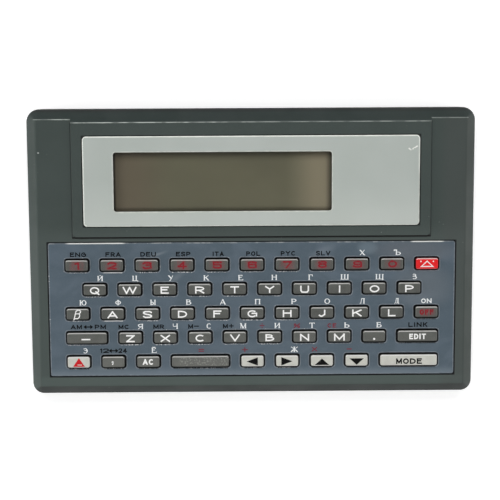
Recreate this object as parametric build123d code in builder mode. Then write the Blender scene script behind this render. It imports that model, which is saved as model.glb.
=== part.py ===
from build123d import *
from math import atan2, pi
import os

# Pocket translator with a 51-key keyboard, lying on its back.
# +X runs to the right along the keyboard, +Y to the display end, +Z up.
# The origin is the centre of the footprint, on the surface it lies on.
# All lengths are in millimetres.

os.makedirs("parts", exist_ok=True)

# ---- case ----
case_width = 140.4
case_depth = 90.5
corner_display_end = 4.0
corner_key_end = 3.5
foot_height = 0.6
foot_length = 14.0
foot_width = 4.0
foot_corner = 1.0
foot_inset_x = 20.0
foot_inset_y = 9.25
parting_z = 6.6
deck_top_z = 13.0
case_bevel = 3.1
rim_radius = 1.5
ridge_edge = 0.25
block_rise = 0.95
back_bevel = 2.0
wall = 1.8
back_floor = 1.6
parting_edge = 0.2
lip_thickness = 1.0
lip_height = 1.2
lip_gap = 0.1
lip_root = 1.5
inside_corner = 1.6
deck_thickness = 1.2
bevel_wall_inset = 3.4
bevel_wall_z = 9.2

# ---- raised display block and what sits in it ----
block_half_width = 56.0
block_low_y = 5.2
block_corner = 1.4
block_edge = 0.3
plate_recess = 0.6
plate_gap = 0.25
display_plate_width = 105.0
display_plate_depth = 28.2
display_plate_thickness = 0.55
display_plate_y = 22.75
display_plate_corner = 1.2
window_width = 68.0
window_depth = 18.4
window_x = -8.95
window_y = 22.6
window_corner = 0.8
pane_margin = 2.0
pane_gap = 0.15
pane_thickness = 0.75
glass_margin_x = 4.0
glass_margin_y = 3.6
glass_ledge = 1.4
glass_thickness = 0.9

# ---- keyboard ----
key_plate_width = 128.0
key_plate_depth = 42.6
key_plate_y = -17.75
key_plate_corner = 0.7
key_plate_thickness = 0.5
plate_edge = 0.15
key_pitch_x = 11.0
key_pitch_y = 7.7
first_row_y = -3.55
column_zero_x = -54.95
aperture_width = 7.9
aperture_depth = 4.3
aperture_corner = 0.5
key_clearance = 0.38
deck_hole_margin = 0.1
key_proud = 1.2
cap_edge = 0.3
cap_corner = 0.5
flange_margin = 1.05
flange_thickness = 0.8
flange_gap = 0.05
key_travel = 0.8

# ---- board and key mat ----
board_thickness = 1.2
board_margin_x = 9.0
board_margin_y = 4.25
board_z = 7.0
mat_thickness = 0.7
mat_margin = 1.4
dome_base_radius = 2.4
dome_top_radius = 1.4
dome_wall = 0.5
dome_sides = 4
peg_radius = 0.8
peg_gap = 0.2
post_width = 3.6
peg_sides = 8
peg_inset_x = 9.0
peg_inset_display_end = 6.0
peg_inset_key_end = 2.1

# ---- screws ----
screw_inset_x = 6.0
screw_inset_y = 6.4
boss_sides = 8
post_radius = 3.0
boss_radius = 2.5
well_radius = 2.15
well_depth = 2.6
pilot_radius = 0.8
pilot_top_z = 10.4
clear_radius = 1.1

# ---- battery bay, in the back at the keyboard end ----
cell_radius = 10.0
cell_height = 3.2
cell_gap = 0.3
cell_x = 10.9
cell_inset_y = 15.45
cover_half_width = 25.0
cover_length = 28.25
cover_thickness = 1.3
cover_gap = 0.1
cover_side_gap = 0.15
tongue_width = 1.2
tongue_thickness = 0.55
bay_side_wall = 3.5
bay_end_wall = 2.0
cell_rest = 0.3
roof_thickness = 0.8
contact_length = 12.0
contact_width = 5.0
grip_width = 14.0
grip_groove = 0.8
grip_pitch = 1.7
grip_count = 5
grip_depth = 0.35
grip_inset_y = 10.25
arrow_width = 4.4
arrow_depth = 3.3
arrow_gap = 2.0
reset_radius = 0.75
reset_x = 36.0
reset_y = 14.0

# ---- parts under the board: place of each, from its middle and its display end ----
chip_thickness = 1.8
chip_edge = 0.2
sound_chip_x = -34.0
sound_chip_inset = 21.0
sound_chip_width = 18.0
sound_chip_depth = 9.0
main_chip_x = -8.0
main_chip_inset = 19.0
main_chip_size = 14.0
memory_chip_x = 24.0
memory_chip_inset = 11.0
memory_chip_width = 7.0
memory_chip_depth = 5.0
buzzer_x = 46.0
buzzer_inset = 23.0
buzzer_radius = 6.0
buzzer_height = 3.0
crystal_x = 8.0
crystal_inset = 7.0
crystal_width = 10.0
crystal_depth = 4.4
crystal_height = 2.6
crystal_corner = 1.2
strip_width = 2.0

# ---- levels and sizes that follow ----
block_top_z = deck_top_z + block_rise
deck_floor_z = deck_top_z - plate_recess
deck_under_z = deck_floor_z - deck_thickness
block_floor_z = block_top_z - plate_recess
block_under_z = block_floor_z - deck_thickness
key_plate_top_z = deck_floor_z + key_plate_thickness
cap_top_z = key_plate_top_z + key_proud
flange_top_z = deck_under_z - flange_gap
flange_low_z = flange_top_z - flange_thickness
board_top_z = board_z + board_thickness
mat_top_z = board_top_z + mat_thickness
half_depth = case_depth / 2
half_width = case_width / 2
lip_inset = wall + lip_gap + lip_thickness
board_half_width = half_width - board_margin_x
board_half_depth = half_depth - board_margin_y
peg_x = board_half_width - peg_inset_x
peg_high_y = board_half_depth - peg_inset_display_end
peg_low_y = peg_inset_key_end - board_half_depth
peg_points = [(-peg_x, peg_high_y), (peg_x, peg_high_y), (-peg_x, peg_low_y), (peg_x, peg_low_y)]
screw_x = half_width - screw_inset_x
screw_y = half_depth - screw_inset_y
screw_points = [(-screw_x, screw_y), (screw_x, screw_y), (-screw_x, -screw_y), (screw_x, -screw_y)]
foot_x = half_width - foot_inset_x
foot_y = half_depth - foot_inset_y
foot_points = [(-foot_x, foot_y), (foot_x, foot_y), (-foot_x, -foot_y), (foot_x, -foot_y)]
cell_y = cell_inset_y - half_depth
cover_inner_y = cover_length - half_depth
bay_inner_y = cover_inner_y + bay_end_wall
bay_half_width = cover_half_width + bay_side_wall
grip_y = grip_inset_y - half_depth
arrow_y = grip_y + (grip_count - 1) / 2 * grip_pitch + grip_groove / 2 + arrow_gap
pane_width = window_width + 2 * pane_margin
pane_depth = window_depth + 2 * pane_margin
glass_top_z = block_under_z - 0.1
glass_mid_z = glass_top_z - glass_thickness
glass_low_z = glass_mid_z - glass_thickness
cover_top_z = foot_height + cover_thickness
pocket_top_z = cover_top_z + cover_gap
cell_low_z = pocket_top_z + cell_rest
cell_top_z = cell_low_z + cell_height
roof_low_z = cell_top_z + cell_rest
roof_top_z = roof_low_z + roof_thickness
tongue_low_z = cover_top_z - tongue_thickness

# ---- keys: name, row, middle column, width in columns ----
rows = [
    ["1", "2", "3", "4", "5", "6", "7", "8", "9", "0", "translate"],
    ["q", "w", "e", "r", "t", "y", "u", "i", "o", "p"],
    ["sharp_s", "a", "s", "d", "f", "g", "h", "j", "k", "l", "off"],
    ["z", "x", "c", "v", "b", "n", "m", "period"],
]
row_start = [0.0, 0.5, 0.0, 1.5]
keys = []
for row, names in enumerate(rows):
    for index, name in enumerate(names):
        keys.append((name, row, row_start[row] + index, 1.0))
keys.append(("hyphen", 3, 0.25, 1.5))
keys.append(("edit", 3, 9.75, 1.5))
keys.append(("shift", 4, 0.0, 1.0))
keys.append(("comma", 4, 1.0, 1.0))
keys.append(("clear", 4, 2.0, 1.0))
keys.append(("space", 4, 3.5, 2.0))
keys.append(("left", 4, 5.0, 1.0))
keys.append(("right", 4, 6.0, 1.0))
keys.append(("up", 4, 7.0, 1.0))
keys.append(("down", 4, 8.0, 1.0))
keys.append(("mode", 4, 9.5, 2.0))


def key_x(column):
    return column_zero_x + column * key_pitch_x


def key_y(row):
    return first_row_y - row * key_pitch_y


def key_w(columns):
    return aperture_width + (columns - 1.0) * key_pitch_x


# ---- front case: shell, bevel, raised display block, key deck ----
with BuildPart() as front_case:
    with BuildSketch(Plane.XY.offset(parting_z)):
        Rectangle(case_width, case_depth)
        fillet(vertices().group_by(Axis.Y)[-1], corner_display_end)
        fillet(vertices().group_by(Axis.Y)[0], corner_key_end)
    extrude(amount=deck_top_z - parting_z)
    chamfer(faces().sort_by(Axis.Z)[-1].edges(), case_bevel)
    fillet(edges().group_by(Axis.Z)[2], rim_radius)
    chamfer(faces().sort_by(Axis.Z)[-1].edges(), ridge_edge)
    # The block's far side runs on in the plane of the case bevel.
    with BuildSketch(Plane.YZ):
        with BuildLine():
            Polyline(
                (block_low_y, deck_top_z - 1.0),
                (half_depth - case_bevel + 1.0, deck_top_z - 1.0),
                (half_depth - case_bevel - block_rise, block_top_z),
                (block_low_y, block_top_z),
                close=True,
            )
        make_face()
    extrude(amount=block_half_width, both=True)
    step_edges = edges().filter_by(Axis.Z).filter_by(
        lambda e: abs(e.center().Y - block_low_y) < 0.01 and abs(abs(e.center().X) - block_half_width) < 0.01
    )
    fillet(step_edges, block_corner)
    chamfer(faces().sort_by(Axis.Z)[-1].edges(), block_edge)
    chamfer(faces().sort_by(Axis.Z)[0].edges(), parting_edge)
    # Recesses for the two plates.
    with BuildSketch(Plane.XY.offset(block_floor_z)):
        with Locations((0, display_plate_y)):
            RectangleRounded(
                display_plate_width + 2 * plate_gap,
                display_plate_depth + 2 * plate_gap,
                display_plate_corner + plate_gap,
            )
    extrude(amount=plate_recess + 1.0, mode=Mode.SUBTRACT)
    with BuildSketch(Plane.XY.offset(deck_floor_z)):
        with Locations((0, key_plate_y)):
            RectangleRounded(
                key_plate_width + 2 * plate_gap,
                key_plate_depth + 2 * plate_gap,
                key_plate_corner + plate_gap,
            )
    extrude(amount=plate_recess, mode=Mode.SUBTRACT)
    # Inside of the shell, in three steps.
    with BuildSketch(Plane.XY.offset(parting_z)):
        Rectangle(case_width - 2 * wall, case_depth - 2 * wall)
        chamfer(vertices(), inside_corner)
    extrude(amount=bevel_wall_z - parting_z, mode=Mode.SUBTRACT)
    with BuildSketch(Plane.XY.offset(bevel_wall_z)):
        Rectangle(case_width - 2 * bevel_wall_inset, case_depth - 2 * bevel_wall_inset)
    extrude(amount=deck_under_z - bevel_wall_z, mode=Mode.SUBTRACT)
    with BuildSketch(Plane.XY.offset(deck_under_z)):
        with Locations((0, display_plate_y)):
            Rectangle(2 * block_half_width - 2 * wall, display_plate_depth + 3.0)
    extrude(amount=block_under_z - deck_under_z, mode=Mode.SUBTRACT)
    # Screw bosses reach from the deck to the parting line.
    with BuildSketch(Plane.XY.offset(parting_z)):
        with Locations(*screw_points):
            RegularPolygon(boss_radius, boss_sides)
    extrude(amount=deck_under_z - parting_z)
    with BuildSketch(Plane.XY.offset(parting_z)):
        with Locations(*screw_points):
            Circle(pilot_radius)
    extrude(amount=pilot_top_z - parting_z, mode=Mode.SUBTRACT)
    # Window opening, filled by the clear pane.
    with BuildSketch(Plane.XY.offset(block_under_z)):
        with Locations((window_x, window_y)):
            Rectangle(pane_width + 2 * pane_gap, pane_depth + 2 * pane_gap)
    extrude(amount=block_floor_z - block_under_z, mode=Mode.SUBTRACT)
    # One hole for each key.
    with BuildSketch(Plane.XY.offset(deck_under_z)):
        for name, row, column, columns in keys:
            with Locations((key_x(column), key_y(row))):
                Rectangle(
                    key_w(columns) + 2 * deck_hole_margin,
                    aperture_depth + 2 * deck_hole_margin,
                )
    extrude(amount=deck_thickness, mode=Mode.SUBTRACT)
front_case.part.label = "front_case"
export_step(front_case.part, "parts/front_case.step")

# ---- back case: shell, feet, lip, screw posts, battery bay ----
with BuildPart() as back_case:
    with BuildSketch(Plane.XY.offset(foot_height)):
        Rectangle(case_width, case_depth)
        fillet(vertices().group_by(Axis.Y)[-1], corner_display_end)
        fillet(vertices().group_by(Axis.Y)[0], corner_key_end)
    extrude(amount=parting_z - foot_height)
    chamfer(faces().sort_by(Axis.Z)[0].edges(), back_bevel)
    chamfer(faces().sort_by(Axis.Z)[-1].edges(), parting_edge)
    # Lip that locates the front case, then the inside, narrower at the lip's root.
    with BuildSketch(Plane.XY.offset(parting_z - lip_root)):
        Rectangle(case_width - 2 * wall - 2 * lip_gap, case_depth - 2 * wall - 2 * lip_gap)
        chamfer(vertices(), inside_corner)
    extrude(amount=lip_root + lip_height)
    with BuildSketch(Plane.XY.offset(parting_z - lip_root)):
        Rectangle(case_width - 2 * lip_inset, case_depth - 2 * lip_inset)
    extrude(amount=lip_root + lip_height, mode=Mode.SUBTRACT)
    with BuildSketch(Plane.XY.offset(foot_height + back_floor)):
        Rectangle(case_width - 2 * wall, case_depth - 2 * wall)
        chamfer(vertices(), inside_corner)
    extrude(amount=parting_z - lip_root - foot_height - back_floor, mode=Mode.SUBTRACT)
    # Screw posts and board posts.
    with BuildSketch(Plane.XY.offset(foot_height + back_floor / 2)):
        with Locations(*screw_points):
            RegularPolygon(post_radius, boss_sides)
    extrude(amount=parting_z - foot_height - back_floor / 2)
    with BuildSketch(Plane.XY.offset(foot_height + back_floor / 2)):
        with Locations(*peg_points):
            Rectangle(post_width, post_width)
    extrude(amount=board_z - foot_height - back_floor / 2)
    with BuildSketch(Plane.XY.offset(board_z)):
        with Locations(*peg_points):
            RegularPolygon(peg_radius, peg_sides)
    extrude(amount=board_thickness - 0.1)
    # Body of the battery bay.
    with BuildSketch(Plane.XY.offset(foot_height + back_floor / 2)):
        with Locations((0, (bay_inner_y - half_depth + wall / 2) / 2)):
            Rectangle(2 * bay_half_width, bay_inner_y + half_depth - wall / 2)
    extrude(amount=roof_top_z - foot_height - back_floor / 2)
    with BuildSketch(Plane.XY.offset(pocket_top_z - 0.5)):
        with Locations((-cell_x, cell_y), (cell_x, cell_y)):
            Circle(cell_radius + cell_gap)
    extrude(amount=roof_low_z - pocket_top_z + 0.5, mode=Mode.SUBTRACT)
    # Pocket and side grooves of the sliding cover, open at the keyboard end.
    with BuildSketch(Plane.YZ):
        with BuildLine():
            Polyline(
                (-half_depth - 1.0, foot_height - 1.0),
                (cover_inner_y + cover_side_gap, foot_height - 1.0),
                (cover_inner_y + cover_side_gap, pocket_top_z),
                (-half_depth - 1.0, pocket_top_z),
                close=True,
            )
        make_face()
    extrude(amount=cover_half_width + cover_side_gap, both=True, mode=Mode.SUBTRACT)
    with BuildSketch(Plane.YZ):
        with BuildLine():
            Polyline(
                (-half_depth - 1.0, tongue_low_z - cover_gap),
                (cover_inner_y + cover_side_gap, tongue_low_z - cover_gap),
                (cover_inner_y + cover_side_gap, pocket_top_z),
                (-half_depth - 1.0, pocket_top_z),
                close=True,
            )
        make_face()
    extrude(amount=cover_half_width + tongue_width + cover_side_gap, both=True, mode=Mode.SUBTRACT)
    # Screw wells and clearance holes.
    with BuildSketch(Plane.XY):
        with Locations(*screw_points):
            Circle(well_radius)
    extrude(amount=foot_height + well_depth, mode=Mode.SUBTRACT)
    with BuildSketch(Plane.XY):
        with Locations(*screw_points):
            Circle(clear_radius)
    extrude(amount=parting_z + 0.5, mode=Mode.SUBTRACT)
    # Reset pinhole.
    with BuildSketch(Plane.XY):
        with Locations((reset_x, reset_y)):
            Circle(reset_radius)
    extrude(amount=foot_height + back_floor + 1.0, mode=Mode.SUBTRACT)
    # Moulded feet.
    with BuildSketch(Plane.XY):
        with Locations(*foot_points):
            Rectangle(foot_length, foot_width)
        chamfer(vertices(), foot_corner)
    extrude(amount=foot_height + 0.2)
back_case.part.label = "back_case"
export_step(back_case.part, "parts/back_case.step")

# ---- sliding battery cover ----
with BuildPart() as battery_cover:
    with BuildSketch(Plane.YZ):
        with BuildLine():
            Polyline(
                (cover_inner_y, foot_height),
                (-half_depth + back_bevel, foot_height),
                (-half_depth + back_bevel - cover_thickness, cover_top_z),
                (cover_inner_y, cover_top_z),
                close=True,
            )
        make_face()
    extrude(amount=cover_half_width, both=True)
    with BuildSketch(Plane.YZ):
        with BuildLine():
            Polyline(
                (cover_inner_y, tongue_low_z),
                (-half_depth + back_bevel - cover_thickness + tongue_thickness, tongue_low_z),
                (-half_depth + back_bevel - cover_thickness, cover_top_z),
                (cover_inner_y, cover_top_z),
                close=True,
            )
        make_face()
    extrude(amount=cover_half_width + tongue_width, both=True)
    # Thumb grooves and an arrow that points the way it slides.
    with BuildSketch(Plane.XY.offset(foot_height)):
        with Locations((0, grip_y)):
            with GridLocations(0, grip_pitch, 1, grip_count):
                Rectangle(grip_width, grip_groove)
    extrude(amount=grip_depth, mode=Mode.SUBTRACT)
    with BuildSketch(Plane.XY.offset(foot_height)):
        with BuildLine():
            Polyline(
                (-arrow_width / 2, arrow_y + arrow_depth),
                (arrow_width / 2, arrow_y + arrow_depth),
                (0, arrow_y),
                close=True,
            )
        make_face()
    extrude(amount=grip_depth, mode=Mode.SUBTRACT)
battery_cover.part.label = "battery_cover"
export_step(battery_cover.part, "parts/battery_cover.step")

# ---- coin cells ----
with BuildPart() as coin_cells:
    with BuildSketch(Plane.XY.offset(cell_low_z)):
        with Locations((-cell_x, cell_y), (cell_x, cell_y)):
            Circle(cell_radius)
    extrude(amount=cell_height)
coin_cells.part.label = "coin_cells"
export_step(coin_cells.part, "parts/coin_cells.step")

# ---- silver display plate with the window opening ----
with BuildPart() as display_panel:
    with BuildSketch(Plane.XY.offset(block_floor_z)):
        with Locations((0, display_plate_y)):
            RectangleRounded(display_plate_width, display_plate_depth, display_plate_corner)
    extrude(amount=display_plate_thickness)
    chamfer(faces().sort_by(Axis.Z)[-1].edges(), plate_edge)
    with BuildSketch(Plane.XY.offset(block_floor_z)):
        with Locations((window_x, window_y)):
            RectangleRounded(window_width, window_depth, window_corner)
    extrude(amount=display_plate_thickness, mode=Mode.SUBTRACT)
    chamfer(faces().sort_by(Axis.Z)[-1].inner_wires().edges(), plate_edge)
display_panel.part.label = "display_panel"
export_step(display_panel.part, "parts/display_panel.step")

# ---- painted keyboard plate ----
with BuildPart() as keyboard_panel:
    with BuildSketch(Plane.XY.offset(deck_floor_z)):
        with Locations((0, key_plate_y)):
            RectangleRounded(key_plate_width, key_plate_depth, key_plate_corner)
    extrude(amount=key_plate_thickness)
    chamfer(faces().sort_by(Axis.Z)[-1].edges(), plate_edge)
    with BuildSketch(Plane.XY.offset(deck_floor_z)):
        for name, row, column, columns in keys:
            with Locations((key_x(column), key_y(row))):
                Rectangle(key_w(columns), aperture_depth)
        chamfer(vertices(), aperture_corner)
    extrude(amount=key_plate_thickness, mode=Mode.SUBTRACT)
keyboard_panel.part.label = "keyboard_panel"
export_step(keyboard_panel.part, "parts/keyboard_panel.step")

# ---- display: clear pane, front glass, rear glass ----
with BuildPart() as pane:
    with BuildSketch(Plane.XY.offset(block_floor_z - pane_thickness)):
        with Locations((window_x, window_y)):
            Rectangle(pane_width, pane_depth)
    extrude(amount=pane_thickness)
with BuildPart() as front_glass:
    with BuildSketch(Plane.XY.offset(glass_mid_z)):
        with Locations((window_x, window_y)):
            Rectangle(window_width + 2 * glass_margin_x, window_depth + 2 * glass_margin_y - 2 * glass_ledge)
    extrude(amount=glass_thickness)
with BuildPart() as rear_glass:
    with BuildSketch(Plane.XY.offset(glass_low_z)):
        with Locations((window_x, window_y)):
            Rectangle(window_width + 2 * glass_margin_x, window_depth + 2 * glass_margin_y)
    extrude(amount=glass_thickness)
display_solids = [pane.part.solid(), front_glass.part.solid(), rear_glass.part.solid()]
lcd_module = Compound(label="lcd_module", children=display_solids)
export_step(lcd_module, "parts/lcd_module.step")

# ---- silicone mat with one hollow dome under each key ----
dome_points = [(key_x(column), key_y(row)) for name, row, column, columns in keys]
dome_height = flange_low_z - mat_top_z
dome_taper = atan2(dome_base_radius - dome_top_radius, dome_height) * 180 / pi
mat_left = key_x(0) - aperture_width / 2 - mat_margin
mat_right = key_x(10) + aperture_width / 2 + mat_margin
mat_high = key_y(0) + aperture_depth / 2 + mat_margin
mat_low = key_y(4) - aperture_depth / 2 - mat_margin
with BuildPart() as key_mat:
    with BuildSketch(Plane.XY.offset(board_top_z)):
        with Locations(((mat_left + mat_right) / 2, (mat_low + mat_high) / 2)):
            Rectangle(mat_right - mat_left, mat_high - mat_low)
    extrude(amount=mat_thickness)
    with BuildSketch(Plane.XY.offset(mat_top_z)):
        with Locations(*dome_points):
            RegularPolygon(dome_base_radius, dome_sides)
    extrude(amount=dome_height, taper=dome_taper)
    with BuildSketch(Plane.XY.offset(board_top_z)):
        with Locations(*dome_points):
            RegularPolygon(dome_base_radius - dome_wall, dome_sides)
    extrude(amount=dome_height + mat_thickness - dome_wall, taper=dome_taper / 2, mode=Mode.SUBTRACT)
key_mat.part.label = "key_mat"
export_step(key_mat.part, "parts/key_mat.step")

# ---- circuit board with what is soldered to it ----
with BuildPart() as board:
    with BuildSketch(Plane.XY.offset(board_z)):
        Rectangle(2 * board_half_width, 2 * board_half_depth)
        with Locations(*peg_points):
            RegularPolygon(peg_radius + peg_gap, peg_sides, mode=Mode.SUBTRACT)
    extrude(amount=board_thickness)
with BuildPart() as chips:
    with BuildSketch(Plane.XY.offset(board_z)):
        with Locations((sound_chip_x, board_half_depth - sound_chip_inset)):
            Rectangle(sound_chip_width, sound_chip_depth)
        with Locations((main_chip_x, board_half_depth - main_chip_inset)):
            Rectangle(main_chip_size, main_chip_size)
        with Locations((memory_chip_x, board_half_depth - memory_chip_inset)):
            Rectangle(memory_chip_width, memory_chip_depth)
    extrude(amount=-chip_thickness)
    chamfer(faces().filter_by(Plane.XY).group_by(Axis.Z)[0].edges(), chip_edge)
with BuildPart() as buzzer:
    with BuildSketch(Plane.XY.offset(board_z)):
        with Locations((buzzer_x, board_half_depth - buzzer_inset)):
            Circle(buzzer_radius)
    extrude(amount=-buzzer_height)
with BuildPart() as crystal:
    with BuildSketch(Plane.XY.offset(board_z)):
        with Locations((crystal_x, board_half_depth - crystal_inset)):
            Rectangle(crystal_width, crystal_depth)
        chamfer(vertices(), crystal_corner)
    extrude(amount=-crystal_height)
with BuildPart() as contacts:
    with BuildSketch(Plane.XY.offset(cell_top_z)):
        with Locations((-cell_x, cell_y), (cell_x, cell_y)):
            Rectangle(contact_length, contact_width)
    extrude(amount=cell_rest)
# Rubber connector strips carry the signals up to the glass.
strip_offset = window_depth / 2 + glass_margin_y - glass_ledge
with BuildPart() as strips:
    with BuildSketch(Plane.XY.offset(board_top_z)):
        with Locations((window_x, window_y + strip_offset), (window_x, window_y - strip_offset)):
            Rectangle(window_width, strip_width)
    extrude(amount=glass_low_z - board_top_z)
board_solids = [*board.part.solids(), *chips.part.solids(), *buzzer.part.solids(), *crystal.part.solids()]
board_solids += [*contacts.part.solids(), *strips.part.solids()]
circuit_board = Compound(label="circuit_board", children=board_solids)
export_step(circuit_board, "parts/circuit_board.step")

# ---- keys: bevelled cap that stands through the deck, flange that holds it in ----
for name, row, column, columns in keys:
    cap_width = key_w(columns) - 2 * key_clearance
    cap_depth = aperture_depth - 2 * key_clearance
    with BuildPart() as key:
        with BuildSketch(Plane.XY.offset(flange_top_z - flange_thickness / 2)):
            with Locations((key_x(column), key_y(row))):
                Rectangle(cap_width, cap_depth)
            chamfer(vertices(), cap_corner)
        extrude(amount=cap_top_z - flange_top_z + flange_thickness / 2)
        chamfer(faces().sort_by(Axis.Z)[-1].edges(), cap_edge)
        with BuildSketch(Plane.XY.offset(flange_low_z)):
            with Locations((key_x(column), key_y(row))):
                Rectangle(cap_width + 2 * flange_margin, cap_depth + 2 * flange_margin)
        extrude(amount=flange_thickness)
    key.part.label = "key_" + name
    export_step(key.part, "parts/key_" + name + ".step")
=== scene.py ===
import bpy
import math
from mathutils import Matrix, Vector
from mathutils.geometry import tessellate_polygon


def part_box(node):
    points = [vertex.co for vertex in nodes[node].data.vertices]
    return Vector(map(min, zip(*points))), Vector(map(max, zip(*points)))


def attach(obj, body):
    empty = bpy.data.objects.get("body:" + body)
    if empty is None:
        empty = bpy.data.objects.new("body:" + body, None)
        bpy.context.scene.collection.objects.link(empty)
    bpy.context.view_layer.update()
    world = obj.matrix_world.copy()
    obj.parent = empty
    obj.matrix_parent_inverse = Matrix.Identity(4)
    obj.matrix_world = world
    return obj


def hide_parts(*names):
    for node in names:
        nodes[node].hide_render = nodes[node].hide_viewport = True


# Dresses the handheld translator: key caps, plates, print, display, screws and materials, then floor, light
# and camera.
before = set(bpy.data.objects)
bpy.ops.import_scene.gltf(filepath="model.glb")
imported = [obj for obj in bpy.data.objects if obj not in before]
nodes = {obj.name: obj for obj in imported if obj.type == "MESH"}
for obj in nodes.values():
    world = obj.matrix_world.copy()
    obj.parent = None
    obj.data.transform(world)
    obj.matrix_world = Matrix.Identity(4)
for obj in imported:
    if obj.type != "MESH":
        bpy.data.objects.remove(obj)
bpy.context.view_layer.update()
MM = 0.001


def extent(node):
    """x low, x high, y low, y high, z low, z high of a CAD node in millimetres."""
    low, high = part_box(node)
    return low.x / MM, high.x / MM, low.y / MM, high.y / MM, low.z / MM, high.z / MM


def footprint(node):
    """Centre x, centre y, width and depth of a CAD node in millimetres."""
    low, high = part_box(node)
    return (low.x + high.x) / 2 / MM, (low.y + high.y) / 2 / MM, (high.x - low.x) / MM, (high.y - low.y) / MM


# ---- places on the housing, in millimetres, as in the CAD ----
KEY_PLATE, DISPLAY_PLATE = extent("keyboard_panel"), extent("display_panel")
DECK_TOP = 13.0
BEVEL_X, BEVEL_Y = 67.1, 42.15  # where the top meets the side bevels and, beside the block, the far one
BLOCK_X, BLOCK_NEAR, BLOCK_FAR = 56.0, 5.2, 41.2
WINDOW = (-8.95, 22.6, 68.0, 18.4, 0.8)  # centre x, centre y, width, depth and corner radius
DIGIT_X, DIGIT_Y, KEY_PITCH, ROW_PITCH = -54.85, -3.55, 11.0, 7.7  # first digit as printed, and the pitches
SCREW_X, SCREW_Y = 64.2, 38.85


# ---- colour and material helpers ----
def srgb(r, g, b):
    """The linear colour that a socket takes, from one written as 0 to 255."""
    def linear(c):
        c /= 255
        return c / 12.92 if c <= 0.04045 else ((c + 0.055) / 1.055) ** 2.4

    return (linear(r), linear(g), linear(b), 1.0)


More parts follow.
